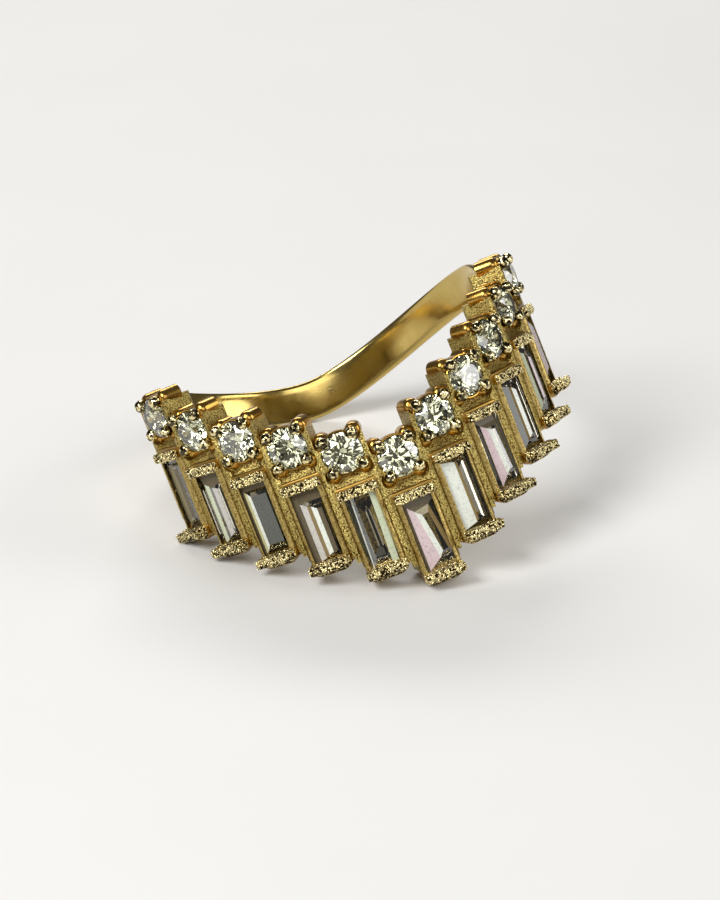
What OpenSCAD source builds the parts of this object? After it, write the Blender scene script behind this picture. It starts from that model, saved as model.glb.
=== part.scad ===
// Ring with eleven stations of stones on a head that dips to a V at the front. Each station has a
// round stone in four beaded prongs, and below it a baguette that lies along the finger between two
// bars. The metal is one solid: head, prongs, bars and the plain shank, which swings down at the back.
//
// Frame of the ring before it is laid down: Z along the finger, the point of the V towards -Y, the
// origin on the ring's axis at the height of the front round stone.

/* [Finger hole] */
// Diameter of the finger hole
bore_d = 17.3; // [16.8:0.1:17.6]

/* [Head] */
// Stations on each arm of the V, beside the one at its point
arm_stations = 5; // [3:1:5]
// Angle around the finger from one station to the next
station_angle = 13.7; // [13.4:0.1:14.2]
// Rise along the finger from one station to the next
station_rise = 1.155; // [0.8:0.005:1.3]
// Distance from a round stone's centre to the centre of the baguette below it
row_gap = 4.015; // [4:0.005:4.2]
// Distance from the ring's axis to the flat tops of the walls between the stones
wall_r = 10.42; // [10.38:0.01:10.5]
// Height of the head's upper edge above the centres of the round stones
head_top = 0.72; // [0.5:0.01:0.8]

/* [Round stones] */
// Diameter of a round stone at its girdle
round_d = 2.05; // [1.8:0.01:2.08]
// Distance from the ring's axis to the round stones' girdles
round_girdle_r = 10.4; // [10.35:0.01:10.5]

/* [Baguettes] */
// Width of a baguette around the finger
baguette_w = 1.8; // [1.5:0.01:1.82]
// Length of a baguette along the finger
baguette_l = 3.9; // [3.7:0.01:3.92]
// Distance from the ring's axis to the baguettes' girdles
baguette_girdle_r = 10.36; // [10.3:0.01:10.4]
// Width of the smooth metal edge along each side of a baguette
bezel_w = 0.25; // [0.2:0.01:0.25]

/* [Bars] */
// Length of a bar around the finger
bar_w = 2.08; // [1.9:0.01:2.12]
// Thickness of a bar along the finger
bar_t = 0.48; // [0.4:0.01:0.5]
// Distance from the ring's axis to the top of a bar
bar_top_r = 10.86; // [10.8:0.01:10.95]

/* [Prongs] */
// Diameter of a prong's post
post_d = 0.84; // [0.76:0.01:0.86]
// Diameter of the bead at a prong's tip
bead_d = 0.64; // [0.58:0.01:0.66]
// Distance from a round stone's centre lines to the middle of each bead
bead_reach = 0.78; // [0.77:0.01:0.8]

/* [Shank] */
// Width of the shank along the finger
shank_w = 2.1; // [1.8:0.05:2.4]
// Thickness of the shank
shank_t = 1; // [0.9:0.05:1.3]
// Height of the shank's middle at the back
shank_back_z = 2.8; // [2.5:0.05:3.2]
// Height of the shank's middle at the sides
shank_side_z = 5.9; // [5.5:0.05:6.1]

/* [Hidden] */
$fn = 64;

bore_r = bore_d / 2;
// clearance that keeps each stone off the metal
seat_gap = 0.03;
stations = [for (i = [-arm_stations : arm_stations]) i];

// a round brilliant's proportions, as shares of its diameter
table_share = 0.56;
crown_share = 0.15;
pavilion_share = 0.43;
girdle_share = 0.03;
// the corner between the stars and the kites, as a share of the way from table to girdle
star_share = 0.5;
// the pavilion's half facets reach this share of the girdle's radius
lower_share = 0.22;

// a baguette's outlines from table to keel: height over the girdle, half width, half length
baguette_steps = [
    [0.25, baguette_w / 2 - 0.26, baguette_l / 2 - 0.29],
    [0.15, baguette_w / 2 - 0.1, baguette_l / 2 - 0.11],
    [0.03, baguette_w / 2, baguette_l / 2],
    [-0.03, baguette_w / 2, baguette_l / 2],
    [-0.3, baguette_w / 2 - 0.2, baguette_l / 2 - 0.24],
    [-0.55, baguette_w / 2 - 0.48, baguette_l / 2 - 0.58],
    [-0.74, 0.02, baguette_l / 2 - 1.05]
];

// bars: their middles sit this far from the baguette's centre
bar_reach = baguette_l / 2 + 0.1;
bar_foot_r = 9.9;
bar_edge = 0.13;

// head blocks: how far they run below the round stone's centre
side_drop = row_gap + bar_reach - 0.75;
core_drop = row_gap + bar_reach - 0.45;
core_w = bar_w + 0.06;

// foot of a station, under its lower bar: wide behind the bar's face and narrower towards the finger
foot_y = -row_gap - bar_reach - bar_t / 2;
foot_front = [
    [bar_w / 2, foot_y + bar_t], [bar_w / 2 - 0.04, foot_y],
    [bar_w / 2 - 0.16, foot_y - 0.1], [bar_w / 2 - 0.44, foot_y - 0.25]
];
foot_keel = [
    [bar_w / 2 - 0.04, foot_y + 0.75], [bar_w / 2 - 0.14, foot_y + 0.4], [bar_w / 2 - 0.34, foot_y + 0.05],
    [bar_w / 2 - 0.54, foot_y - 0.14], [bar_w / 2 - 0.7, foot_y - 0.25]
];
// the keel's inner edge, at each of its corners
foot_keel_r = [bore_r - 0.3, 9.1, 9.6, 9.85, 10];
foot_front_r = 10.3;
// each wedge laps a little over its neighbour, and the cut corners leave a fine seam on both sides
wedge_half = station_angle / 2 + 0.15;
seam_cut = 0.09;
seam_foot_r = bore_r + seam_cut;
block_foot_r = bore_r - 0.3;
inner_half = seam_foot_r * tan(wedge_half) - seam_foot_r + block_foot_r;

// recess round a round stone, from the bar's upper edge to the head's upper edge
recess_w = 1.9;
recess_r = 9.98;
recess_slope_r = 10.33;
recess_slope = 0.75;

// collar round a round stone, under its girdle
collar_w = 0.105;
collar_foot_r = 9.7;
collar_top_r = round_girdle_r - 0.04;

// The metal edges along a baguette lap over its crown: their section, as the distance from the middle
// and the height over the girdle
bezel_out = bar_w / 2 - 0.01;
bezel_in = bezel_out - bezel_w;
bezel_section = [
    [bezel_out, -0.1], [bezel_out, 0.08], [bezel_out - 0.08, 0.18],
    [bezel_in + 0.03, 0.26], [bezel_in, 0.245], [bezel_in, -0.1]
];

// openings behind the stones
round_window_d = 1.1;
baguette_window_w = 0.9;
baguette_window_l = 2.6;

// prongs: the post stands a little outside its bead
post_reach = bead_reach + 0.04;
post_top_r = 10.28;
bead_r = 10.535;

shank_r = bore_r + shank_t;
shank_mid_r = bore_r + shank_t / 2;
shank_half_w = shank_w / 2;
// the shank ends inside the last station's wall, and widens over the shoulder before it
shank_end = 180 - station_angle * arm_stations - 6.2;
shank_side_angles = [72, 80];
shoulder_drop = 2.2;
shoulder_dip = 0.45;
// its outer edges are bevelled from this radius on
bevel_r = bore_r + 0.4 * shank_t;
bevel_angle = 40;
// it is built of sectors, each a little wider than its share and with a few corners along its edges
sectors = [-7 : 7];
sector_angle = 2 * shank_end / 15;
sector_reach = sector_angle / 2 + 0.6;
sector_steps = 2;

// colours
gold = [0.83, 0.66, 0.33];
diamond = [0.86, 0.89, 0.88];

round_names = [for (i = stations) str("round_diamond_", i + arm_stations + 1)];
baguette_names = [for (i = stations) str("baguette_diamond_", i + arm_stations + 1)];

// Places a station: its own X runs around the finger, Y along it and Z outwards from the axis
module at_station(i) {
    rotate([0, 0, station_angle * i])
        translate([0, 0, station_rise * abs(i)])
            rotate([90, 0, 0])
                children();
}

// Runs a section drawn in X and Z along Y, from one height to another
module along(low, high) {
    translate([0, high, 0])
        rotate([90, 0, 0])
            linear_extrude(high - low)
                children();
}

// Runs a section drawn in Y and Z across X, over a width
module across(w) {
    translate([-w / 2, 0, 0])
        rotate([90, 0, 90])
            linear_extrude(w)
                children();
}

// Section of one station's share of the head, with all four corners cut for the seams
module wedge_section() {
    t = tan(wedge_half);
    polygon([
        [-inner_half, block_foot_r],
        [inner_half, block_foot_r],
        [seam_foot_r * t, seam_foot_r],
        [(wall_r - seam_cut) * t, wall_r - seam_cut],
        [wall_r * t - seam_cut, wall_r],
        [-wall_r * t + seam_cut, wall_r],
        [-(wall_r - seam_cut) * t, wall_r - seam_cut],
        [-seam_foot_r * t, seam_foot_r]
    ]);
}

module block() {
    along(-side_drop, head_top)
        wedge_section();
    along(-core_drop, 0.3 - side_drop)
        polygon([
            [-inner_half, block_foot_r],
            [inner_half, block_foot_r],
            [core_w / 2, seam_foot_r],
            [core_w / 2, wall_r],
            [-core_w / 2, wall_r],
            [-core_w / 2, seam_foot_r]
        ]);
}

// A bar across the end of a baguette, with its upper edges cut
module bar(y) {
    half = bar_t / 2;
    translate([0, y, 0])
        across(bar_w)
            polygon([
                [-half, bar_foot_r],
                [half, bar_foot_r],
                [half, bar_top_r - bar_edge],
                [half - bar_edge, bar_top_r],
                [bar_edge - half, bar_top_r],
                [-half, bar_top_r - bar_edge]
            ]);
}

// Outline of a foot, seen from the front, from the corners of its right half
function mirrored(points) =
    concat(points, [for (k = [len(points) - 1 : -1 : 0]) [-points[k][0], points[k][1]]]);

// The lower bar with the foot under it
module lower_bar() {
    last = len(foot_keel) - 1;
    low = foot_y - 0.25;
    bar(-bar_reach - row_gap);
    intersection() {
        translate([0, 0, foot_front_r])
            linear_extrude(1)
                polygon(mirrored(foot_front));
        across(bar_w)
            polygon([
                [foot_y + bar_t, foot_front_r],
                [foot_y + bar_t, bar_top_r - bar_edge],
                [foot_y - 0.03, bar_top_r - bar_edge],
                [foot_y - 0.2, bar_top_r - 0.26],
                [low, bar_top_r - 0.38],
                [low, foot_front_r]
            ]);
    }
    intersection() {
        translate([0, 0, foot_keel_r[0] - 1])
            linear_extrude(foot_front_r - foot_keel_r[0] + 1)
                polygon(mirrored(foot_keel));
        across(bar_w)
            polygon(concat(
                [[foot_keel[0][1], foot_front_r]],
                [for (k = [0 : last]) [foot_keel[k][1], foot_keel_r[k]]],
                [[low, foot_front_r]]
            ));
    }
}

module bars() {
    bar(bar_reach - row_gap);
    lower_bar();
}

module prong() {
    translate([post_reach, post_reach, bore_r + 0.5])
        cylinder(d = post_d, h = post_top_r - bore_r - 0.5);
    translate([bead_reach, bead_reach, bore_r + 0.6])
        cylinder(d = bead_d - 0.05, h = bead_r - bore_r - 0.6);
    translate([bead_reach, bead_reach, bead_r])
        sphere(d = bead_d);
}

module prongs() {
    for (k = [0 : 3])
        rotate([0, 0, 90 * k])
            prong();
}

module collar() {
    translate([0, 0, collar_foot_r])
        cylinder(r = round_d / 2 + collar_w, h = collar_top_r - collar_foot_r);
}

// The smooth metal edges along a baguette's two sides, from bar to bar
module bezels() {
    reach = bar_reach - bar_t / 2 + 0.05;
    translate([0, -row_gap, baguette_girdle_r])
        for (side = [-1, 1])
            along(-reach, reach)
                polygon([for (p = bezel_section) [side * p[0], p[1]]]);
}

// Floor that a round stone stands over: it slopes down from the bar and is open at the top
module recess() {
    low = -row_gap + bar_reach + bar_t / 2;
    across(recess_w)
        polygon([
            [low, wall_r + 1],
            [low, recess_slope_r],
            [low + recess_slope, recess_r],
            [head_top + 1, recess_r],
            [head_top + 1, wall_r + 1]
        ]);
}

// Space of a round stone with its clearance, and the opening behind it
module round_seat() {
    r = round_d / 2;
    girdle = girdle_share * round_d / 2;
    depth = pavilion_share * round_d;
    window_r = round_window_d / 2;
    window_z = -depth * (1 - window_r / (r + seat_gap)) - girdle - seat_gap;
    translate([0, 0, round_girdle_r])
        rotate_extrude()
            polygon([
                [0, block_foot_r - round_girdle_r - 1],
                [window_r, block_foot_r - round_girdle_r - 1],
                [window_r, window_z],
                [r + seat_gap, -girdle - seat_gap],
                [r + seat_gap, girdle + seat_gap / 2],
                [r * table_share + seat_gap, crown_share * round_d + girdle + seat_gap / 2],
                [0, crown_share * round_d + girdle + seat_gap / 2]
            ]);
}

// Space of a baguette with its clearance, and the opening behind it
module baguette_seat() {
    half_l = baguette_l / 2 + seat_gap;
    keel = baguette_steps[6][0] - 2 * seat_gap;
    right = [for (k = [3 : 5]) [baguette_steps[k][1] + seat_gap, baguette_steps[k][0] - seat_gap]];
    left = [for (k = [5 : -1 : 3]) [-baguette_steps[k][1] - seat_gap, baguette_steps[k][0] - seat_gap]];
    top = 1;
    translate([0, -row_gap, baguette_girdle_r]) {
        along(-half_l, half_l)
            polygon(concat(
                [[baguette_w / 2 + seat_gap, top]], right,
                [[0.2, keel], [-0.2, keel]], left,
                [[-baguette_w / 2 - seat_gap, top]]
            ));
        along(-baguette_window_l / 2, baguette_window_l / 2)
            translate([-baguette_window_w / 2, -2.2])
                square([baguette_window_w, 2]);
    }
}

// Bars reach over the ends of the baguette, so its space is cut before they are added
module station_metal() {
    difference() {
        union() {
            difference() {
                block();
                recess();
                baguette_seat();
            }
            bars();
            bezels();
            collar();
            prongs();
        }
        round_seat();
        translate([0, -row_gap, baguette_girdle_r])
            baguette_clearance();
    }
}

// Outline of the baguette with its clearance, from below its girdle to its table, seen along (1) or
// across (2) the stone
function stone_outline(way) =
    let (gap = 0.75 * seat_gap, half = baguette_steps[2][way] + seat_gap, table = baguette_steps[0],
        step = baguette_steps[1], upper = baguette_steps[2], lower = baguette_steps[3],
        pavilion = [for (k = [5, 4]) [baguette_steps[k][way] + gap, baguette_steps[k][0] - gap]])
    [each pavilion, [half, lower[0] - gap], [half, upper[0]],
        [upper[way] + gap, upper[0] + gap], [step[way] + gap, step[0] + gap],
        [table[way] + gap, table[0] + gap]];

// Space of the baguette under the bars and the bezels
module baguette_clearance() {
    intersection() {
        along(-baguette_l, baguette_l)
            polygon(mirrored(stone_outline(1)));
        across(2 * baguette_w)
            polygon(mirrored(stone_outline(2)));
    }
}

// Rises smoothly from 0 to 1 as x runs from low to high
function ease(x, low, high) =
    let (t = max(0, min(1, (x - low) / (high - low)))) t * t * (3 - 2 * t);

// The shank swings down from the sides to the back; a is the angle round from the back
function shank_mid(a) = shank_back_z + (shank_side_z - shank_back_z) * pow(abs(sin(a)), 1.5);
function shank_low(a) =
    shank_mid(a) - shank_half_w - shoulder_drop * ease(abs(a), shank_side_angles[0], shank_end);
function shank_top(a) =
    shank_mid(a) + shank_half_w - shoulder_dip * ease(abs(a), shank_side_angles[1], shank_end);

// Everything on the inner side of a bevel along an edge: side is 1 at a lower edge, -1 at an upper one
module bevelled(edge, side) {
    slope = side * bevel_angle;
    far = side * 30;
    line = [for (p = edge) [p[0], p[1] * cos(slope) - bevel_r * sin(slope)]];
    rotate([slope, 0, 0])
        along(-10, 30)
            polygon(concat(line, [[line[sector_steps][0], far], [line[0][0], far]]));
}

module shank_sector(a) {
    turns = [for (k = [0 : sector_steps]) sector_reach * (2 * k / sector_steps - 1)];
    low = [for (t = turns) [-shank_mid_r * sin(t), shank_low(a + t)]];
    top = [for (t = turns) [-shank_mid_r * sin(t), shank_top(a + t)]];
    rotate([0, 0, a])
        intersection() {
            along(bore_r - 1, shank_r + 1)
                polygon(concat(low, [for (k = [sector_steps : -1 : 0]) top[k]]));
            bevelled(low, 1);
            bevelled(top, -1);
        }
}

module shank() {
    intersection() {
        difference() {
            cylinder(r = shank_r, h = 12, $fn = 180);
            translate([0, 0, -1])
                cylinder(r = bore_r - 0.2, h = 14, $fn = 180);
        }
        union()
            for (k = sectors)
                shank_sector(sector_angle * k);
    }
}

module gold_setting() {
    color(gold)
        difference() {
            union() {
                for (i = stations)
                    at_station(i)
                        station_metal();
                shank();
            }
            translate([0, 0, -10])
                cylinder(r = bore_r, h = 22, $fn = 180);
        }
}

// Points and faces of a round brilliant: table, stars, kites, half facets, girdle and pavilion
module round_diamond() {
    r = round_d / 2;
    half_girdle = girdle_share * round_d / 2;
    table_z = half_girdle + crown_share * round_d;
    culet_z = -half_girdle - pavilion_share * round_d;
    table_r = r * table_share;
    star_r = (table_r + (r - table_r) * star_share) / cos(22.5);
    star_z = table_z - (star_r * cos(22.5) - table_r) * (table_z - half_girdle) / (r - table_r);
    lower_r = r * lower_share / cos(22.5);
    lower_z = culet_z + lower_r * cos(22.5) * (-half_girdle - culet_z) / r;
    function ring(n, radius, z, turn = 0) =
        [for (k = [0 : n - 1]) [radius * cos(360 * k / n + turn), radius * sin(360 * k / n + turn), z]];
    points = concat(
        ring(8, table_r, table_z),
        ring(8, star_r, star_z, 22.5),
        ring(16, r, half_girdle),
        ring(16, r, -half_girdle),
        ring(8, lower_r, lower_z, 22.5),
        [[0, 0, culet_z]]
    );
    star = 8;
    upper = 16;
    lower = 32;
    half = 48;
    culet = 56;
    faces = concat(
        [[for (k = [7 : -1 : 0]) k]],
        [for (k = [0 : 7]) [k, (k + 1) % 8, star + k]],
        [for (k = [0 : 7]) [k, star + k, upper + 2 * k, star + (k + 7) % 8]],
        [for (k = [0 : 7]) [star + k, upper + 2 * k + 1, upper + 2 * k]],
        [for (k = [0 : 7]) [star + k, upper + (2 * k + 2) % 16, upper + 2 * k + 1]],
        [for (k = [0 : 15]) [upper + k, upper + (k + 1) % 16, lower + (k + 1) % 16, lower + k]],
        [for (k = [0 : 7]) [half + k, lower + 2 * k, lower + 2 * k + 1]],
        [for (k = [0 : 7]) [half + k, lower + 2 * k + 1, lower + (2 * k + 2) % 16]],
        [for (k = [0 : 7]) [culet, half + (k + 7) % 8, lower + 2 * k, half + k]]
    );
    translate([0, 0, round_girdle_r])
        polyhedron(points, faces);
}

// A step-cut baguette, as a stack of rectangles from the table to the keel
module baguette_diamond() {
    n = len(baguette_steps);
    points = [for (s = baguette_steps) for (c = [[1, 1], [-1, 1], [-1, -1], [1, -1]])
        [c[0] * s[1], c[1] * s[2], s[0]]];
    faces = concat(
        [[3, 2, 1, 0]],
        [for (s = [0 : n - 2]) for (k = [0 : 3])
            [4 * s + k, 4 * s + (k + 1) % 4, 4 * s + 4 + (k + 1) % 4, 4 * s + 4 + k]],
        [[for (k = [0 : 3]) 4 * (n - 1) + k]]
    );
    translate([0, -row_gap, baguette_girdle_r])
        polyhedron(points, faces);
}

// A point of a station, given around the finger, along it and outwards, in the ring's frame
function station_point(i, p) =
    let (a = station_angle * i)
    [p[0] * cos(a) + p[2] * sin(a), p[0] * sin(a) - p[2] * cos(a), p[1] + station_rise * abs(i)];

// Points the ring can touch the floor with: the front foot, the left end's foot and the shank
foot_corners = concat(
    [for (k = [0 : len(foot_keel) - 1]) each
        [[-foot_keel[k][0], foot_keel[k][1], foot_keel_r[k]], [-foot_keel[k][0], foot_keel[k][1], foot_front_r]]],
    [for (p = foot_front) each [[-p[0], p[1], foot_front_r], [-p[0], p[1], bar_top_r - 0.38]]],
    [[-bar_w / 2, foot_y, bar_top_r - bar_edge], [0.04 - bar_w / 2, foot_y - 0.03, bar_top_r - bar_edge]]
);
front_points = [for (p = foot_corners) station_point(0, p)];
end_points = [for (p = foot_corners) station_point(-arm_stations, p)];
// A point of the sector at angle a of the shank, in the ring's frame
function sector_point(a, x, y, z) = [x * cos(a) - y * sin(a), x * sin(a) + y * cos(a), z];
// How far the bevel rises up to a distance out from the axis
function bevel_rise(y) = (y - bevel_r) * tan(bevel_angle);
// Corners of a sector's edges: its angle, how far aside they lie and the angle round from the back
shank_corners = [for (k = sectors) each [for (j = [0 : sector_steps])
    let (a = sector_angle * k, t = sector_reach * (2 * j / sector_steps - 1))
    [a, -shank_mid_r * sin(t), a + t]]];
back_points = [for (s = shank_corners) each
    let (x = s[1], low = shank_low(s[2]), y = sqrt(shank_r * shank_r - x * x))
    [sector_point(s[0], x, sqrt(bore_r * bore_r - x * x), low), sector_point(s[0], x, bevel_r, low),
        sector_point(s[0], x, y, low + bevel_rise(y))]];

// The three lowest of those points carry the ring; the floor's direction is found step by step
function lowest(points, up) =
    let (heights = [for (p = points) p * up], least = min(heights))
    points[[for (k = [0 : len(points) - 1]) if (heights[k] == least) k][0]];
function unit(v) = v / norm(v);
function settle(up, steps) =
    steps == 0 ? up :
    let (a = lowest(front_points, up), b = lowest(end_points, up), c = lowest(back_points, up))
    settle(unit(cross(a - b, c - b)), steps - 1);
up = settle(unit([0.3, -0.4, 0.9]), 12);
lean = acos(up[2]);
lean_axis = unit([up[1], -up[0], 0]);
floor_z = lowest(front_points, up) * up;

// Turns a point of the ring's frame with the ring as it is laid down
function laid(p) =
    p * cos(lean) + cross(lean_axis, p) * sin(lean) + lean_axis * (lean_axis * p) * (1 - cos(lean));

// Outermost points, which give the middle of the ring on the floor
edge_r = bar_top_r - bar_edge;
rim = [for (i = stations) each [for (x = [-bar_w / 2, bar_w / 2]) each
    [for (y = [foot_y, foot_y + bar_t, bar_reach - row_gap - bar_t / 2, bar_reach - row_gap + bar_t / 2])
        laid(station_point(i, [x, y, edge_r]))]]];
beads = [for (i = stations) each [for (x = [-1, 1]) each [for (y = [-1, 1])
    laid(station_point(i, [x * bead_reach, y * bead_reach, bead_r]))]]];
hoop = [for (s = shank_corners) each
    let (x = s[1], y = sqrt(shank_r * shank_r - x * x), rise = bevel_rise(y))
    [for (z = [shank_low(s[2]) + rise, shank_top(s[2]) - rise])
        laid(sector_point(s[0], x, y, z))]];
function span_low(axis) = min(concat(
    [for (p = rim) p[axis]], [for (p = hoop) p[axis]], [for (p = beads) p[axis] - bead_d / 2]));
function span_high(axis) = max(concat(
    [for (p = rim) p[axis]], [for (p = hoop) p[axis]], [for (p = beads) p[axis] + bead_d / 2]));
middle = [for (axis = [0, 1]) (span_low(axis) + span_high(axis)) / 2];

// Lays the ring down as it rests on its own: on the front foot, the left end's foot and the shank
module resting() {
    translate([-middle[0], -middle[1], -floor_z])
        rotate(a = lean, v = lean_axis)
            children();
}

resting()
        gold_setting();
for (i = stations) {
    resting()
            at_station(i)
                color(diamond)
                    round_diamond();
    resting()
            at_station(i)
                color(diamond)
                    baguette_diamond();
}
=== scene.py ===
import bpy
import math
from mathutils import Matrix, Vector


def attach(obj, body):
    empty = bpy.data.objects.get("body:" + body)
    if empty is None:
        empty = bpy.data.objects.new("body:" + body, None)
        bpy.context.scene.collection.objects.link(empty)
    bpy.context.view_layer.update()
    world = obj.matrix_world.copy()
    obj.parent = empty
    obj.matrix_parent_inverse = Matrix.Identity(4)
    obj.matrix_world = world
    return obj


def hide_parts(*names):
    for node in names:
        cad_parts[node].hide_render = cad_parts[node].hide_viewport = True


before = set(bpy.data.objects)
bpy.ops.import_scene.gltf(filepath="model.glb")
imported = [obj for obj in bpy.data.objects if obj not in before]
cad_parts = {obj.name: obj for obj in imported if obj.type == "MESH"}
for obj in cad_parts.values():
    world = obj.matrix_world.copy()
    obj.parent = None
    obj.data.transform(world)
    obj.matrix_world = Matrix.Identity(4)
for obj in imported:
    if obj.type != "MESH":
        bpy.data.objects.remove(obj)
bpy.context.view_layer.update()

# Sizes in millimetres, as in the ring's source. A station has X around the finger, Y along it and
# Z outwards. The ring has Z along the finger and the V's point towards -Y.
MM = 0.001
BORE_R = 8.65

# The eleven stations, five on each arm of the V
ARM = 5
STATIONS = range(-ARM, ARM + 1)
STATION_DEGREES = 13.7
STATION_ANGLE = math.radians(STATION_DEGREES)
STATION_OVERLAP = math.radians(0.15)
STATION_RISE = 1.155
ROW_GAP = 4.015

# The stones, and the space left around them
ROUND_R = 1.025
ROUND_Z = 10.4
BAGUETTE_W = 1.8
BAGUETTE_L = 3.9
BAGUETTE_Z = 10.36
GIRDLE_HALF = 0.03
STONE_ROOM = 0.03
PRONG_ROOM = 0.012
ROUND_HOLE_R = 0.55

# The bars: their outer side is worked, and their flanks are painted darker as shade below the bright metal.
BAR_W = 2.08
BAR_T = 0.48
BAR_LOW = 9.9
BAR_TOP = 10.86
BAR_REACH = BAGUETTE_L / 2 + 0.1
UPPER_BAR_Y = BAR_REACH - ROW_GAP
LOWER_BAR_Y = -BAR_REACH - ROW_GAP
WORKED_FROM = 10.5
WORKED_RISE = 0.16
PAINTED_SHADE_TOP = 10.6
HOLLOW_DEPTH = 0.09

# The walls, the feet and the bezels
WALL_LOW = BORE_R - 0.3
WALL_R = 10.42
SEAM_R = BORE_R + 0.09
HEAD_TOP = 0.72
SIDE_DROP = ROW_GAP + BAR_REACH - 0.75
FOOT_Y = -ROW_GAP - BAR_REACH - BAR_T / 2
FOOT_FRONT = FOOT_Y - 0.25
BEZEL_OUT = BAR_W / 2 - 0.01
BEZEL_IN = BEZEL_OUT - 0.25

# The prongs
POST_R = 0.42
POSTS = ((0.83, 0.84), (-0.83, 0.84), (0.81, -0.94), (-0.81, -0.94))
BEAD_R = 0.32
BEAD_REACH = 0.78
BEAD_Z = 10.535
COLLAR_R = ROUND_R + 0.105

# The shank
SHANK_T = 1.0
SHANK_HALF = 1.05
SHANK_BACK_Z = 2.8
SHANK_SIDE_Z = 5.9
SHANK_END = 180 - STATION_DEGREES * ARM - 6.2
SHANK_STEPS = 96

# How far the forms for cutting reach: inwards, outwards and to the sides
TOOL_LOW = 7.5
TOOL_TOP = 11.4
TOOL_REACH = 10

# The ring as it rests: leaning on the front foot, the left end's foot and the back of the shank
UP = Vector((0.264308, -0.381173, 0.885917)).normalized()
SHIFT = Vector((0.985933, 1.05218, 2.08734))
LAID = (Matrix.Scale(MM, 4) @ Matrix.Translation(SHIFT)
        @ Matrix.Rotation(math.acos(UP.z), 4, Vector((UP.y, -UP.x, 0))))


def number(i):
    """A station's number, counted from the left end of the head."""
    return i + ARM + 1


def station(i):
    """Where a station sits on the laid ring. Station 0 is at the V's point."""
    return (LAID @ Matrix.Rotation(STATION_ANGLE * i, 4, "Z")
            @ Matrix.Translation((0, 0, STATION_RISE * abs(i)))
            @ Matrix.Rotation(math.radians(90), 4, "X"))


def ease(x, low, high):
    """Goes softly from 0 to 1 while x goes from low to high."""
    t = max(0.0, min(1.0, (x - low) / (high - low)))
    return t * t * (3 - 2 * t)


# Handling of pieces


def only(obj):
    """Makes one piece the selected and active one."""
    bpy.ops.object.select_all(action="DESELECT")
    obj.select_set(True)
    bpy.context.view_layer.objects.active = obj


def named(name):
    """Names the piece that was just made, and its mesh."""
    obj = bpy.context.active_object
    obj.name = obj.data.name = name
    return obj


def choose(obj, kind, test):
    """Opens a piece for editing with only its faces, edges or corners that pass a test selected."""
    only(obj)
    bpy.ops.object.mode_set(mode="EDIT")
    bpy.ops.mesh.select_mode(type=kind)
    bpy.ops.mesh.select_all(action="DESELECT")
    bpy.ops.object.mode_set(mode="OBJECT")
    mesh = obj.data
    corner = [v.co for v in mesh.vertices]
    if kind == "FACE":
        for face in mesh.polygons:
            face.select = test(face.center, face.normal)
    elif kind == "EDGE":
        for edge in mesh.edges:
            a, b = (corner[k] for k in edge.vertices)
            edge.select = test(a, b)
    else:
        for vertex in mesh.vertices:
            vertex.select = test(vertex.co)
    bpy.ops.object.mode_set(mode="EDIT")


def every(*place):
    """The test that all faces, edges and corners pass."""
    return True


def done():
    """Closes the piece that is open for editing."""
    bpy.ops.object.mode_set(mode="OBJECT")


def outward(obj):
    """Turns every face of a piece outwards."""
    choose(obj, "FACE", every)
    bpy.ops.mesh.normals_make_consistent(inside=False)
    done()
    return obj


def block(name, low, high):
    """A cube primitive fitted between two corners."""
    bpy.ops.object.select_all(action="DESELECT")
    low, high = Vector(low), Vector(high)
    bpy.ops.mesh.primitive_cube_add(size=1, location=(low + high) / 2, scale=high - low)
    obj = named(name)
    bpy.ops.object.transform_apply(location=True, rotation=True, scale=True)
    return obj


def slab(name, corners, plane, low, high):
    """An outline with these corners, drawn across X, Y or Z and pulled out from low to high."""
    bpy.ops.object.select_all(action="DESELECT")
    bpy.ops.mesh.primitive_circle_add(vertices=len(corners), radius=1, fill_type="NGON")
    obj = named(name)
    spot = {"X": lambda p, d: (d, p[0], p[1]), "Y": lambda p, d: (p[0], d, p[1]),
            "Z": lambda p, d: (p[0], p[1], d)}[plane]
    for vertex, p in zip(obj.data.vertices, corners):
        vertex.co = spot(p, low)
    choose(obj, "FACE", every)
    bpy.ops.mesh.extrude_region_move(TRANSFORM_OT_translate={"value": spot((0, 0), high - low)})
    done()
    return outward(obj)


def mirrored(right):
    """A whole outline from the corners of its right half."""
    return right + [(-x, y) for x, y in reversed(right)]


def turned(name, profile, segments):
    """A round form on the Z axis, from the radius and height of each step of its profile."""
    bpy.ops.object.select_all(action="DESELECT")
    bpy.ops.mesh.primitive_circle_add(vertices=segments, radius=profile[0][0],
                                      location=(0, 0, profile[0][1]), fill_type="NGON")
    obj = named(name)
    bpy.ops.object.transform_apply(location=True, rotation=True, scale=True)
    choose(obj, "FACE", every)
    for (r0, z0), (r1, z1) in zip(profile, profile[1:]):
        bpy.ops.mesh.extrude_region_move(TRANSFORM_OT_translate={"value": (0, 0, z1 - z0)})
        bpy.ops.transform.resize(value=(r1 / r0, r1 / r0, 1), center_override=(0, 0, z1))
    done()
    return outward(obj)


def apply(obj, kind, **settings):
    """Adds a modifier with its settings and applies it."""
    only(obj)
    modifier = obj.modifiers.new(kind.lower(), kind)
    for key, value in settings.items():
        setattr(modifier, key, value)
    bpy.ops.object.modifier_apply(modifier=modifier.name)
    return obj


def cut(obj, *tools):
    """Cuts other forms out of a piece."""
    for tool in tools:
        apply(obj, "BOOLEAN", operation="DIFFERENCE", object=tool, solver="EXACT")
        bpy.data.objects.remove(tool)


def add(obj, other):
    """Fuses another form with a piece."""
    apply(obj, "BOOLEAN", operation="UNION", object=other, solver="EXACT")
    bpy.data.objects.remove(other)


def rounded(obj, width):
    """Rounds the sharp edges of a piece."""
    return apply(obj, "BEVEL", width=width, segments=2, limit_method="ANGLE",
                 angle_limit=math.radians(30))


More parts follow.
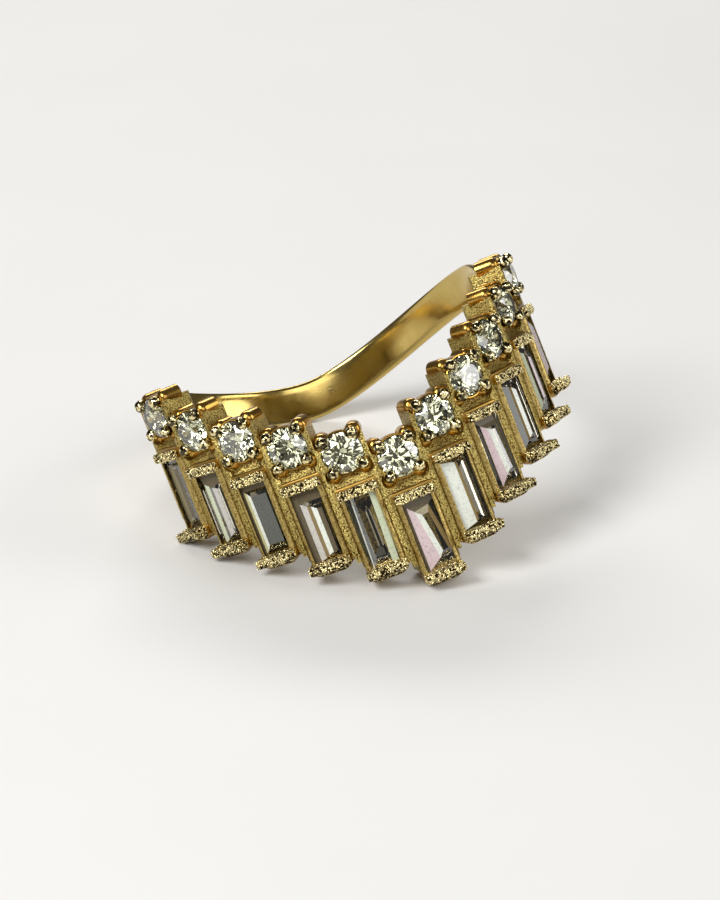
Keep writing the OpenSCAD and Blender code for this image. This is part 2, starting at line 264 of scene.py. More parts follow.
def bevel(obj, test, offset, segments):
    """Rounds only the edges of a piece that pass a test."""
    choose(obj, "EDGE", test)
    bpy.ops.mesh.bevel(offset=offset, segments=segments)
    done()


def joined(name, *parts):
    """Makes several forms one piece."""
    only(parts[0])
    for part in parts:
        part.select_set(True)
    bpy.ops.object.join()
    return named(name)


def copied(obj, name, matrix=None):
    """A copy of a piece with its own mesh, moved in its mesh."""
    copy = obj.copy()
    copy.data = obj.data.copy()
    bpy.context.scene.collection.objects.link(copy)
    copy.name = copy.data.name = name
    if matrix is not None:
        copy.data.transform(matrix)
    return copy


def placed(obj, matrix):
    """Moves a finished piece to its place on the ring and leaves the place in its mesh."""
    only(obj)
    obj.matrix_world = matrix
    bpy.ops.object.transform_apply(location=True, rotation=True, scale=True)
    return obj


def smooth(obj, degrees):
    """Shades a piece smooth, apart from edges sharper than so many degrees."""
    only(obj)
    bpy.ops.object.shade_smooth_by_angle(angle=math.radians(degrees))
    return obj


# Finishes


def group(name, inputs, outputs):
    """A shader group with float inputs and outputs of the given kinds; returns it and its ends."""
    tree = bpy.data.node_groups.new(name, "ShaderNodeTree")
    for label, value in inputs:
        socket = tree.interface.new_socket(label, in_out="INPUT", socket_type="NodeSocketFloat")
        socket.default_value = value
    for label, kind in outputs:
        tree.interface.new_socket(label, in_out="OUTPUT", socket_type=kind)
    return tree, tree.nodes.new("NodeGroupInput"), tree.nodes.new("NodeGroupOutput")


def node(tree, kind, **settings):
    """A new node with its settings."""
    made = tree.nodes.new(kind)
    for key, value in settings.items():
        setattr(made, key, value)
    return made


def feed(tree, value, socket):
    """Sets a socket to a number, or links another node's output to it."""
    if isinstance(value, (int, float)):
        socket.default_value = value
    else:
        tree.links.new(value, socket)


def math_node(tree, operation, a, b):
    """One step of arithmetic on two numbers or outputs."""
    made = node(tree, "ShaderNodeMath", operation=operation)
    feed(tree, a, made.inputs[0])
    feed(tree, b, made.inputs[1])
    return made.outputs[0]


def spread(tree, value, low, high, start=0.0, stop=1.0):
    """Maps a value that goes from start to stop onto low to high."""
    made = node(tree, "ShaderNodeMapRange")
    made.inputs["From Min"].default_value = start
    made.inputs["From Max"].default_value = stop
    made.inputs["To Min"].default_value = low
    made.inputs["To Max"].default_value = high
    tree.links.new(value, made.inputs["Value"])
    return made.outputs["Result"]


def noise(tree, scale, detail, place=None):
    """Soft noise on the piece's own coordinates, or on another place that is given."""
    made = node(tree, "ShaderNodeTexNoise")
    made.inputs["Detail"].default_value = detail
    feed(tree, scale, made.inputs["Scale"])
    if place is None:
        place = node(tree, "ShaderNodeTexCoord").outputs["Object"]
    tree.links.new(place, made.inputs["Vector"])
    return made.outputs["Fac"]


def grain_group():
    """The skin of blasted or cast metal: fine round grains over a slower unevenness."""
    tree, start, end = group("metal_grain", [("Grain per mm", 18), ("Coarse share", 0.4)],
                             [("Height", "NodeSocketFloat"), ("Pits", "NodeSocketFloat")])
    scale = math_node(tree, "MULTIPLY", start.outputs["Grain per mm"], 1 / MM)
    fine = node(tree, "ShaderNodeTexVoronoi", feature="SMOOTH_F1")
    tree.links.new(node(tree, "ShaderNodeTexCoord").outputs["Object"], fine.inputs["Vector"])
    tree.links.new(scale, fine.inputs["Scale"])
    fine.inputs["Smoothness"].default_value = 0.4
    coarse = noise(tree, math_node(tree, "MULTIPLY", scale, 0.28), 3)
    height = math_node(tree, "ADD", math_node(tree, "SUBTRACT", 1, fine.outputs["Distance"]),
                       math_node(tree, "MULTIPLY", coarse, start.outputs["Coarse share"]))
    tree.links.new(height, end.inputs["Height"])
    tree.links.new(spread(tree, fine.outputs["Distance"], 0, 1, 0.42, 0.75), end.inputs["Pits"])
    return tree


def handling_group():
    """Slow changes over polished metal: faint smears and hairline scratches."""
    tree, start, end = group("handling", [("Size per mm", 1.2)],
                             [("Smear", "NodeSocketFloat"), ("Scratch", "NodeSocketFloat")])
    scale = math_node(tree, "MULTIPLY", start.outputs["Size per mm"], 1 / MM)
    tree.links.new(noise(tree, scale, 5), end.inputs["Smear"])
    stretch = node(tree, "ShaderNodeMapping")
    stretch.inputs["Rotation"].default_value = (0.4, 0.2, 0.9)
    stretch.inputs["Scale"].default_value = (1, 14, 14)
    tree.links.new(node(tree, "ShaderNodeTexCoord").outputs["Object"], stretch.inputs["Vector"])
    hair = noise(tree, scale, 2, stretch.outputs["Vector"])
    tree.links.new(spread(tree, hair, 0, 1, 0.6, 0.72), end.inputs["Scratch"])
    return tree


GRAIN = grain_group()
HANDLING = handling_group()
DIAMOND_IOR = 2.417


def material(name):
    """A new material, with its nodes and its shader."""
    made = bpy.data.materials.new(name)
    made.use_nodes = True
    return made, made.node_tree, made.node_tree.nodes["Principled BSDF"]


def use_group(tree, shared, **values):
    """Places a shared group in a material with its own values."""
    made = node(tree, "ShaderNodeGroup", node_tree=shared)
    for key, value in values.items():
        made.inputs[key.replace("_", " ")].default_value = value
    return made


def mix_colours(tree, factor, low, high):
    """Two colours mixed by a mask."""
    made = node(tree, "ShaderNodeMix", data_type="RGBA")
    factor_in, low_in, high_in = made.inputs[0], made.inputs[6], made.inputs[7]
    tree.links.new(factor, factor_in)
    low_in.default_value = (*low, 1)
    high_in.default_value = (*high, 1)
    return made.outputs[2]


def darker(colour, share):
    """A colour with only a share of its light."""
    return tuple(c * share for c in colour)


def bump(tree, shader, height, depth_mm, strength=1.0):
    """Lets a height shape the light on a surface."""
    made = node(tree, "ShaderNodeBump")
    made.inputs["Strength"].default_value = strength
    made.inputs["Distance"].default_value = depth_mm * MM
    tree.links.new(height, made.inputs["Height"])
    tree.links.new(made.outputs["Normal"], shader.inputs["Normal"])


def satin_gold(name, bright, dark, grain_per_mm, depth_mm):
    """Matte gold: fine bright grains, with painted shade in the pits between them."""
    made, tree, shader = material(name)
    shader.inputs["Metallic"].default_value = 1
    grain = use_group(tree, GRAIN, Grain_per_mm=grain_per_mm, Coarse_share=0.35)
    # Painted shade: the colour darkens towards the second colour in the pits between the grains.
    tree.links.new(mix_colours(tree, grain.outputs["Pits"], bright, dark), shader.inputs["Base Color"])
    tree.links.new(spread(tree, grain.outputs["Height"], 0.50, 0.30), shader.inputs["Roughness"])
    bump(tree, shader, grain.outputs["Height"], depth_mm)
    return made


def hammered_gold():
    """Bright gold of the bars, with painted shade in the hollows between its facets and on a foot's low
    front.
    """
    made, tree, shader = material("hammered_gold")
    shader.inputs["Metallic"].default_value = 1
    depth = node(tree, "ShaderNodeAttribute", attribute_name="hollow_shade")
    hollow_shade = spread(tree, depth.outputs["Fac"], 0, 1, 0.40, 0.70)
    # Painted shade: the colour goes nearly black where the hollow attribute is high.
    tree.links.new(mix_colours(tree, hollow_shade, (0.86, 0.72, 0.36), (0.03, 0.018, 0.006)),
                   shader.inputs["Base Color"])
    tree.links.new(spread(tree, hollow_shade, 0.16, 0.6), shader.inputs["Roughness"])
    grain = use_group(tree, GRAIN, Grain_per_mm=24, Coarse_share=0.3)
    bump(tree, shader, grain.outputs["Height"], 0.005)
    return made


def polished_gold(name, colour, low, high, dents=0.0):
    """Polished gold with faint smears and hairlines. Where it was pushed it has shallow dents, with
    painted shade in them."""
    made, tree, shader = material(name)
    shader.inputs["Metallic"].default_value = 1
    touch = use_group(tree, HANDLING, Size_per_mm=1.5)
    tree.links.new(spread(tree, touch.outputs["Smear"], low, high, 0.3, 0.7), shader.inputs["Roughness"])
    if dents:
        grain = use_group(tree, GRAIN, Grain_per_mm=5, Coarse_share=1.0)
        dent_shade = spread(tree, grain.outputs["Pits"], 0, 1, 0.0, 0.5)
        # Painted shade: the colour goes nearly black in the dents.
        tint = mix_colours(tree, dent_shade, colour, darker(colour, 0.08))
        bump(tree, shader, grain.outputs["Height"], dents)
    else:
        deeper = tuple(c * share for c, share in zip(colour, (0.88, 0.82, 0.7)))
        tint = mix_colours(tree, touch.outputs["Smear"], colour, deeper)
        bump(tree, shader, touch.outputs["Scratch"], 0.0015, 0.5)
    tree.links.new(tint, shader.inputs["Base Color"])
    return made


def diamond(name, colour, roughness=0.0):
    """Cut stone: clear, with a faint tint that changes slowly through it."""
    made, tree, shader = material(name)
    shader.inputs["Transmission Weight"].default_value = 1
    shader.inputs["IOR"].default_value = DIAMOND_IOR
    shader.inputs["Roughness"].default_value = roughness
    tint = mix_colours(tree, noise(tree, 900, 3), colour, darker(colour, 0.86))
    tree.links.new(tint, shader.inputs["Base Color"])
    return made


def painted_light_facet(name, colour, ior=1.6):
    """A facet painted with its stone's light, even and opaque, with a few fine specks."""
    made, tree, shader = material(name)
    shader.inputs["Roughness"].default_value = 0.22
    shader.inputs["IOR"].default_value = ior
    specks = spread(tree, noise(tree, 9000, 4), 1, 0, 0.3, 0.5)
    tree.links.new(mix_colours(tree, specks, colour, darker(colour, 0.72)), shader.inputs["Base Color"])
    return made


BLASTED = satin_gold("blasted_gold", (0.60, 0.47, 0.15), (0.11, 0.065, 0.013), 15, 0.03)
BEZEL_GOLD = satin_gold("bezel_gold", (0.54, 0.40, 0.14), (0.26, 0.17, 0.045), 12, 0.012)
HAMMERED = hammered_gold()
BEAD_GOLD = polished_gold("bead_gold", (0.93, 0.78, 0.41), 0.04, 0.09, dents=0.05)
# Darker, oranger gold: painted shade on the posts, the collars and the bars' flanks.
PAINTED_SHADE_GOLD = polished_gold("painted_shade_gold", (0.50, 0.30, 0.07), 0.18, 0.30)
# Dark solder gold: partly the solder's own colour, partly painted shade along the upper bars.
SOLDER_AND_SHADE_GOLD = polished_gold("solder_and_shade_gold", (0.36, 0.23, 0.06), 0.30, 0.45)
SHANK_GOLD = polished_gold("shank_gold", (0.62, 0.47, 0.16), 0.12, 0.22)


def finished(obj, *materials, slot="gold"):
    """Gives a piece its finishes and its body; its slot is not used."""
    used = [face.material_index for face in obj.data.polygons]
    obj.data.materials.clear()
    for m in materials:
        obj.data.materials.append(m)
    for face, index in zip(obj.data.polygons, used):
        face.material_index = index
    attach(obj, "root")
    return obj


# The stations' walls


def seat_tool(name, spare):
    """The space of a round stone and the hole behind it, for cutting; spare widens the seat."""
    r = ROUND_R + spare
    return turned(name, [(ROUND_HOLE_R, TOOL_LOW), (ROUND_HOLE_R, ROUND_Z - 0.45),
                         (r, ROUND_Z - GIRDLE_HALF - spare), (r, ROUND_Z + 0.05),
                         (ROUND_R * 0.56 + spare, ROUND_Z + 0.36)], 48)


def finger_tool():
    """The finger hole, in a station's frame."""
    finger = turned("finger", [(BORE_R, -TOOL_REACH), (BORE_R, TOOL_REACH)], 180)
    finger.data.transform(Matrix.Rotation(math.radians(90), 4, "X"))
    return finger


def baguette_tools():
    """The space of a baguette, with the sloping ledges beside it, and the window behind it."""
    half_l = BAGUETTE_L / 2 + STONE_ROOM
    half_w = BAGUETTE_W / 2 + STONE_ROOM
    z = BAGUETTE_Z
    right = [(0.2, z - 0.8), (half_w - 0.48, z - 0.58), (half_w - 0.2, z - 0.33),
             (half_w, z - 0.06), (half_w, z + 1)]
    seat = slab("seat", mirrored(right), "Y", -ROW_GAP - half_l, half_l - ROW_GAP)
    window = block("window", (-0.45, -ROW_GAP - 1.3, TOOL_LOW), (0.45, 1.3 - ROW_GAP, z - 0.4))
    return seat, window


def station_wall(low_side):
    """One station's share of the head: a wedge between its neighbours, cut for its two stones. On the
    side of its lower neighbour, 1 or -1, it goes down as far as its own lower bar. The station at the
    V's point has 0, because both its neighbours are higher."""
    t = math.tan(STATION_ANGLE / 2 + STATION_OVERLAP)
    inner = SEAM_R * t - SEAM_R + WALL_LOW
    wall = slab("station_wall", [(-inner, WALL_LOW), (inner, WALL_LOW), (SEAM_R * t, SEAM_R),
                                 (WALL_R * t, WALL_R), (-WALL_R * t, WALL_R), (-SEAM_R * t, SEAM_R)],
                "Y", -SIDE_DROP, HEAD_TOP)
    half = BAR_W / 2 + 0.03
    core = slab("core", [(-inner, WALL_LOW), (inner, WALL_LOW), (half, SEAM_R), (half, WALL_R - 0.01),
                         (-half, WALL_R - 0.01), (-half, SEAM_R)], "Y", -SIDE_DROP - 0.3, 0.3 - SIDE_DROP)
    add(wall, core)
    if low_side:
        edge = [(0.9, SEAM_R), (SEAM_R * t, SEAM_R), (WALL_R * t, WALL_R), (0.9, WALL_R)]
        edge = [(x * low_side, z) for x, z in edge]
        skirt = slab("skirt", edge, "Y", -SIDE_DROP - 0.9, 0.3 - SIDE_DROP)
        cut(skirt, slab("under", [(-SIDE_DROP, 7), (-SIDE_DROP, WALL_LOW), (-SIDE_DROP - 0.5, 9.6),
                                  (-SIDE_DROP - 1, 9.9), (-SIDE_DROP - 2, 7)], "X", -2, 2))
        add(wall, skirt)
    low = UPPER_BAR_Y + BAR_T / 2
    recess = slab("recess", [(low, TOOL_TOP), (low, 10.33), (low + 0.75, 9.98), (HEAD_TOP + 1, 9.98),
                             (HEAD_TOP + 1, TOOL_TOP)], "X", -0.95, 0.95)
    reach = BAR_REACH + BAR_T / 2
    lines = [block("line", (x - 0.02, -ROW_GAP - reach, WALL_R - 0.07),
                   (x + 0.02, reach - ROW_GAP, WALL_R + 1)) for x in (-BEZEL_OUT - 0.01, BEZEL_OUT + 0.01)]
    pockets = []
    for x, y in POSTS:
        pocket = turned("pocket", [(POST_R + 0.02, 10.1), (POST_R + 0.02, TOOL_TOP)], 40)
        pocket.data.transform(Matrix.Translation((x, y, 0)))
        pockets.append(pocket)
    cut(wall, recess, seat_tool("round_seat", STONE_ROOM), *baguette_tools(), finger_tool(),
        *lines, *pockets)
    return smooth(rounded(wall, 0.02), 25)


def bezel_pair():
    """The smooth metal edges along a baguette, a little uneven, as they are pushed over the stone."""
    z = BAGUETTE_Z
    reach = BAR_REACH - BAR_T / 2 + 0.05
    section = [(BEZEL_OUT, z - 0.1), (BEZEL_OUT, z + 0.06), (BEZEL_OUT - 0.03, z + 0.12),
               (BEZEL_OUT - 0.08, z + 0.18), (BEZEL_OUT - 0.15, z + 0.235), (BEZEL_IN + 0.03, z + 0.26),
               (BEZEL_IN, z + 0.245), (BEZEL_IN + 0.005, z + 0.215), (0.83, z + 0.18), (0.925, z + 0.06),
               (0.93, z - 0.1)]
    edge = slab("bezel", section, "Y", -ROW_GAP - reach, reach - ROW_GAP)
    choose(edge, "EDGE", lambda a, b: abs(a.y - b.y) > 1)
    bpy.ops.mesh.subdivide(number_cuts=30)
    done()
    uneven = bpy.data.textures.new("pushed_metal", "CLOUDS")
    uneven.noise_scale = 0.28
    outer = edge.vertex_groups.new(name="outer")
    outer.add([v.index for v in edge.data.vertices if v.co.x > 0.9 or v.co.z > z + 0.23], 1, "REPLACE")
    apply(edge, "DISPLACE", texture=uneven, strength=0.03, mid_level=0.5, vertex_group="outer")
    edge.vertex_groups.clear()
    across = Matrix.Translation((0, -2 * ROW_GAP, 0)) @ Matrix.Rotation(math.pi, 4, "Z")
    other = copied(edge, "bezel_other", across)
    return smooth(joined("bezels", edge, other), 50)


# Bars and feet


def roughen(obj, shift):
    """Works the outer side of a bar into small uneven grains and notes how deep each hollow is, as painted
    shade for its colour. A foot's low front gets more painted shade."""
    mesh = obj.data
    before = [(v.co.copy(), v.normal.copy()) for v in mesh.vertices]
    worked = obj.vertex_groups.new(name="worked")
    for vertex in mesh.vertices:
        share = (vertex.co.z - WORKED_FROM) / WORKED_RISE
        worked.add([vertex.index], max(0.06, min(1, share)), "REPLACE")
    mesh.transform(Matrix.Translation(shift))
    for name, kind, size, depth in (("slow", "CLOUDS", 0.45, 0.05), ("lumps", "CLOUDS", 0.13, 0.09),
                                    ("grains", "VORONOI", 0.09, -0.10)):
        texture = bpy.data.textures.get(name) or bpy.data.textures.new(name, kind)
        texture.noise_scale = size
        apply(obj, "DISPLACE", texture=texture, strength=depth, mid_level=0.5, vertex_group="worked")
    mesh = obj.data
    mesh.transform(Matrix.Translation(-shift))
    obj.vertex_groups.clear()
    hollow_shade = mesh.attributes.new("hollow_shade", "FLOAT", "POINT")
    for vertex, (place, normal), value in zip(mesh.vertices, before, hollow_shade.data):
        # Painted shade: darker down the foot's low front, and in each dip by how deep it sinks.
        low_front_shade = 0.25 * ease(FOOT_Y - place.y, -0.22, 0.1)
        raised = (vertex.co - place).dot(normal) / HOLLOW_DEPTH
        value.value = max(0.0, min(1.0, 0.5 + low_front_shade - raised))


def close_mesh(obj, size, fine_from):
    """An even mesh over a form, with its corners softened and its outer side divided finely."""
    apply(obj, "REMESH", mode="VOXEL", voxel_size=size)
    apply(obj, "SMOOTH", factor=0.5, iterations=1)
    choose(obj, "FACE", lambda c, n: c.z > fine_from)
    bpy.ops.mesh.subdivide(number_cuts=2, smoothness=0)
    done()
    return obj


def at_end(a, b):
    """Whether an edge stands upright at an end of a bar."""
    return min(abs(a.x), abs(b.x)) > 1 and a.x * b.x > 0 and abs(a.z - b.z) > 0.1


def upper_bar():
    """An upper bar before it is worked: rounded at its ends and along its upper edges."""
    bar = block("bar", (-BAR_W / 2, UPPER_BAR_Y - BAR_T / 2, BAR_LOW),
                (BAR_W / 2, UPPER_BAR_Y + BAR_T / 2, BAR_TOP))
    bevel(bar, at_end, 0.09, 2)
    bevel(bar, lambda a, b: min(a.z, b.z) > BAR_TOP - 0.01, 0.05, 2)
    return close_mesh(bar, 0.055, WORKED_FROM)


def lower_bar():
    """A lower bar with the front of its foot, which carries on downwards from it."""
    half = BAR_W / 2
    bar = block("bar", (-half, LOWER_BAR_Y - BAR_T / 2, BAR_LOW), (half, LOWER_BAR_Y + BAR_T / 2, BAR_TOP))
    right = [(half - 0.01, FOOT_Y + BAR_T - 0.05), (half - 0.04, FOOT_Y), (half - 0.16, FOOT_Y - 0.1),
             (half - 0.44, FOOT_FRONT)]
    front = slab("front", mirrored(right), "Z", 10.3, 11.3)
    over = slab("over", [(FOOT_Y + 1, 12), (FOOT_Y + 0.02, 12), (FOOT_Y - 0.02, BAR_TOP - 0.05),
                         (FOOT_Y - 0.12, BAR_TOP - 0.13), (FOOT_Y - 0.2, BAR_TOP - 0.24),
                         (FOOT_FRONT, BAR_TOP - 0.38), (FOOT_FRONT - 1, BAR_TOP - 0.38),
                         (FOOT_FRONT - 1, 12)], "X", -2, 2)
    cut(front, over)
    add(bar, front)
    bevel(bar, lambda a, b: at_end(a, b) and a.y > LOWER_BAR_Y, 0.08, 2)
    return close_mesh(bar, 0.062, WORKED_FROM - 0.05)


def keel_piece():
    """The foot behind a lower bar, narrowing down and in towards the finger."""
    half = BAR_W / 2
    right = [(half - 0.04, FOOT_Y + 0.75), (half - 0.14, FOOT_Y + 0.4), (half - 0.34, FOOT_Y + 0.05),
             (half - 0.54, FOOT_Y - 0.14), (half - 0.7, FOOT_FRONT)]
    keel = slab("keel", mirrored(right), "Z", BORE_R - 0.35, 10.36)
    under = slab("under", [(FOOT_Y + 0.75, 7), (FOOT_Y + 0.75, WALL_LOW), (FOOT_Y + 0.4, 9.1),
                           (FOOT_Y + 0.05, 9.6), (FOOT_Y - 0.14, 9.85), (FOOT_FRONT, 10),
                           (FOOT_FRONT - 1, 10), (FOOT_FRONT - 1, 7)], "X", -2, 2)
    cut(keel, under, finger_tool())
    apply(keel, "REMESH", mode="VOXEL", voxel_size=0.075)
    apply(keel, "SMOOTH", factor=0.5, iterations=4)
    return smooth(keel, 50)


def solder_and_shade_pad():
    """The solder that has run out above an upper bar and round its ends, dark to paint shade along it."""
    y = UPPER_BAR_Y
    half = BAR_W / 2 + 0.09
    pad = block("solder_and_shade", (-half, y - 0.12, 10.2), (half, y + BAR_T / 2 + 0.15, 10.46))
    bevel(pad, lambda a, b: a.x * b.x > 0 and min(a.y, b.y) > y and abs(a.z - b.z) > 0.1, 0.14, 4)
    bevel(pad, lambda a, b: min(a.z, b.z) > 10.45, 0.09, 3)
    return smooth(pad, 40)


def post(x, y):
    """The thick foot of a prong, rounded over at its top."""
    made = turned("post", [(POST_R, 9.15), (POST_R, 9.98), (POST_R - 0.015, 10.08), (POST_R - 0.05, 10.17),
                           (POST_R - 0.11, 10.24), (POST_R - 0.2, 10.3), (0.05, 10.34)], 40)
    made.data.transform(Matrix.Translation((x, y, 0)))
    return made


def first_bead():
    """The bead of a prong, pushed a little over the stone's edge."""
    bpy.ops.object.select_all(action="DESELECT")
    bpy.ops.mesh.primitive_uv_sphere_add(segments=40, ring_count=24, radius=BEAD_R)
    bead = named("bead")
    choose(bead, "VERT", lambda v: v.z > BEAD_R * 0.6)
    bpy.ops.transform.resize(value=(1.03, 1.03, 0.98), center_override=(0, 0, 0))
    done()
    choose(bead, "VERT", lambda v: v.z < -BEAD_R * 0.2)
    bpy.ops.transform.resize(value=(0.98, 0.98, 1.1), center_override=(0, 0, 0))
    done()
    bead.data.transform(Matrix.Translation((BEAD_REACH, BEAD_REACH, BEAD_Z)))
    return bead


def prong_set():
    """Four prongs of a round stone on its collar: a thick post with a bead at each corner."""
    bead = first_bead()
    collar = turned("collar", [(COLLAR_R, 9.7), (COLLAR_R, 10.33), (COLLAR_R - 0.025, 10.36),
                               (0.3, 10.361)], 64)
    # The collar and posts take the darker gold as painted shade; the beads stay bright.
    shade_painted_parts = [collar] + [post(x, y) for x, y in POSTS]
    for part in shade_painted_parts + [bead]:
        cut(part, seat_tool("clear", STONE_ROOM if part == collar else PRONG_ROOM))
        smooth(part, 35)
        part.data.materials.append(BEAD_GOLD if part == bead else PAINTED_SHADE_GOLD)
    quarters = [Matrix.Rotation(math.radians(90 * k), 4, "Z") for k in (1, 2, 3)]
    beads = [bead] + [copied(bead, "bead_turn", quarter) for quarter in quarters]
    return joined("prong_set", *shade_painted_parts, *beads)


# The shank


def shank_edges(a):
    """Height of the shank's lower and upper edge at an angle round from the back, in degrees. Towards
    the head the band gets wider downwards."""
    soft = 0.01
    side = (math.sin(math.radians(a)) ** 2 + soft) ** 0.75 - soft ** 0.75
    mid = SHANK_BACK_Z + (SHANK_SIDE_Z - SHANK_BACK_Z) * side / ((1 + soft) ** 0.75 - soft ** 0.75)
    wider = 2.2 * ease(abs(a), 72, SHANK_END)
    dip = 0.45 * ease(abs(a), 80, SHANK_END)
    return mid - SHANK_HALF - wider, mid + SHANK_HALF - dip


def shank_piece():
    """The plain band: a half-round section swept round the back, swinging down to its middle."""
    outer = BORE_R + SHANK_T
    section = [(BORE_R, -0.8), (BORE_R + 0.04, -0.93), (BORE_R + 0.14, -1), (BORE_R + 0.38, -0.985),
               (BORE_R + 0.62, -0.86), (BORE_R + 0.82, -0.62), (outer - 0.05, -0.32), (outer, 0)]
    section = section + [(r, -z) for r, z in reversed(section[:-1])]
    bpy.ops.object.select_all(action="DESELECT")
    bpy.ops.mesh.primitive_circle_add(vertices=len(section), radius=1, fill_type="NOTHING")
    shank = named("shank")
    end = SHANK_END + 0.8
    first = Vector((math.sin(math.radians(end)), math.cos(math.radians(end)), 0))
    for vertex, (r, z) in zip(shank.data.vertices, section):
        vertex.co = first * r + Vector((0, 0, z))
    choose(shank, "EDGE", every)
    bpy.ops.mesh.spin(steps=SHANK_STEPS, angle=math.radians(-2 * end), center=(0, 0, 0), axis=(0, 0, 1))
    done()
    turn = 2 * end / SHANK_STEPS
    for k in range(SHANK_STEPS + 1):
        a = -end + turn * k
        low, top = shank_edges(a)
        choose(shank, "VERT", lambda v: (abs(math.degrees(math.atan2(-v.x, v.y)) - a) < turn / 4
                                         and abs(v.z) < 1.01))
        bpy.ops.transform.resize(value=(1, 1, (top - low) / 2), center_override=(0, 0, 0))
        bpy.ops.transform.translate(value=(0, 0, (top + low) / 2))
        done()
    outward(shank)
    apply(shank, "SUBSURF", levels=1, render_levels=1)
    choose(shank, "EDGE", every)
    bpy.ops.mesh.fill_holes(sides=0)
    done()
    return smooth(outward(shank), 60)


# Building the ring

gold = []


def at_stations(name, make, *materials, work=None, where=STATIONS):
    """Makes a piece once and sets a copy of it into the stations, each worked in its own way."""
    first = make()
    for i in where:
        piece = copied(first, f"{name}_{number(i)}")
        if work:
            work(piece, i)
        gold.append(finished(placed(piece, station(i)), *materials))
    bpy.data.objects.remove(first)


def work_bar(shift):
    """Roughens a bar's outer side and leaves its flanks smooth, in darker gold as painted shade."""
    def work(bar, i):
        roughen(bar, Vector((3.7 * i + shift, 2.3 * shift, 0.61 * i)))
        # The flanks below the bright metal take the second, darker gold: painted shade.
        for face in bar.data.polygons:
            face.material_index = 0 if face.center.z > PAINTED_SHADE_TOP else 1
        smooth(bar, 70)
    return work


for low_side, where in ((1, range(-ARM, 0)), (0, range(0, 1)), (-1, range(1, ARM + 1))):
    at_stations("station_wall", lambda: station_wall(low_side), BLASTED, where=where)
at_stations("bezels", bezel_pair, BEZEL_GOLD)
at_stations("upper_bar", upper_bar, HAMMERED, PAINTED_SHADE_GOLD, work=work_bar(0.0))
at_stations("lower_bar", lower_bar, HAMMERED, PAINTED_SHADE_GOLD, work=work_bar(5.3))
at_stations("foot", keel_piece, BEZEL_GOLD)
at_stations("solder_and_shade", solder_and_shade_pad, SOLDER_AND_SHADE_GOLD)
at_stations("prongs", prong_set, PAINTED_SHADE_GOLD, BEAD_GOLD)
gold.append(finished(placed(shank_piece(), LAID), SHANK_GOLD))
for piece in gold:
    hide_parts("gold_setting")

# The stones

# Crown steps of each baguette from the outside in: left, right, low and top edge of the step, how
# many degrees it is turned in the stone, and what is painted on its left, right and top facet: clear
# stone, or a painted reflection, or painted shade. The table shows what the last step has at its left.
CROWNS = {
    -5: [(-0.60, 0.70, -1.80, 1.60, 0, "olive", "clear", "clear"),
         (0.10, 0.50, -1.30, 1.30, 0, "umber", "clear", "clear")],
    -4: [(-0.55, 0.75, -1.80, 1.30, 0, "sage", "clear", "umber"),
         (-0.20, 0.70, -1.68, 1.15, 0, "clear", "clear", "clear"),
         (0.05, 0.66, -1.55, 1.05, 0, "pearl", "clear", "clear"),
         (0.48, 0.62, -1.40, 0.95, 0, "clear", "clear", "clear")],
    -3: [(-0.68, 0.74, -1.74, 1.50, 0, "straw", "clear", "clear"),
         (-0.48, 0.70, -1.62, 1.40, 0, "white", "clear", "clear"),
         (-0.26, 0.66, -1.35, 1.20, 0, "smoke", "clear", "clear")],
    -2: [(-0.46, 0.74, -1.80, 1.22, 0, "pearl", "clear", "clear"),
         (-0.14, 0.70, -1.70, 1.02, 0, "bronze", "clear", "clear"),
         (0.08, 0.66, -1.62, 0.95, 0, "white", "clear", "clear"),
         (0.36, 0.60, -1.50, 0.78, 0, "umber", "umber", "clear")],
    -1: [(-0.56, 0.76, -1.88, 1.88, -2, "white", "sage", "clear"),
         (-0.49, 0.43, -1.82, 1.86, -2, "clear", "clear", "clear"),
         (-0.30, 0.20, -1.40, 1.84, 0, "clear", "clear", "clear")],
    0: [(-0.58, 0.78, -1.80, 1.50, 0, "rose", "clear", "umber"),
         (-0.10, 0.70, -1.30, 1.28, 9, "white", "bronze", "olive"),
         (0.17, 0.48, -1.05, 0.95, 9, "clear", "umber", "clear")],
    1: [(-0.78, 0.76, -1.80, 1.74, 0, "white", "clear", "clear"),
         (0.00, 0.60, -1.60, 1.55, 0, "bronze", "pearl", "clear"),
         (0.10, 0.55, -1.50, 1.48, 0, "clear", "clear", "clear")],
    2: [(-0.38, 0.72, -1.74, 1.45, 0, "rose", "clear", "umber"),
         (0.02, 0.50, -1.25, 1.25, 4, "white", "clear", "clear"),
         (0.22, 0.42, -1.05, 1.10, 4, "clear", "clear", "clear")],
    3: [(-0.60, 0.74, -1.72, 1.60, 0, "smoke", "clear", "clear"),
         (-0.14, 0.60, -1.40, 1.45, 0, "bronze", "clear", "clear"),
         (-0.02, 0.50, -1.30, 1.38, 0, "white", "clear", "clear"),
         (0.22, 0.44, -1.15, 1.20, 0, "clear", "clear", "clear")],
    4: [(-0.66, 0.74, -1.74, 1.62, 0, "sage", "clear", "clear"),
         (-0.10, 0.60, -1.30, 1.40, 0, "clear", "smoke", "clear"),
         (0.10, 0.45, -1.10, 1.20, 0, "rose", "clear", "clear"),
         (0.25, 0.40, -1.00, 1.10, 0, "clear", "clear", "clear")],
    5: [(-0.60, 0.74, -1.70, 1.60, 0, "pale", "clear", "clear"),
         (-0.05, 0.55, -1.30, 1.35, 0, "rose", "clear", "clear"),
         (0.20, 0.45, -1.05, 1.10, 0, "clear", "clear", "clear")],
}
# What is painted in the narrow slopes round a stone, at its left, right and top edge: clear stone or painted
# shade
MARGINS = {-4: ("clear", "clear", "umber"), -3: ("umber", "clear", "umber"), -2: ("umber", "umber", "umber"),
           0: ("umber", "clear", "umber"), 1: ("clear", "umber", "clear"), 2: ("clear", "clear", "umber")}
# Heights of a crown's first and last step over the girdle's middle
CROWN_LOW = 0.08
CROWN_HIGH = 0.245
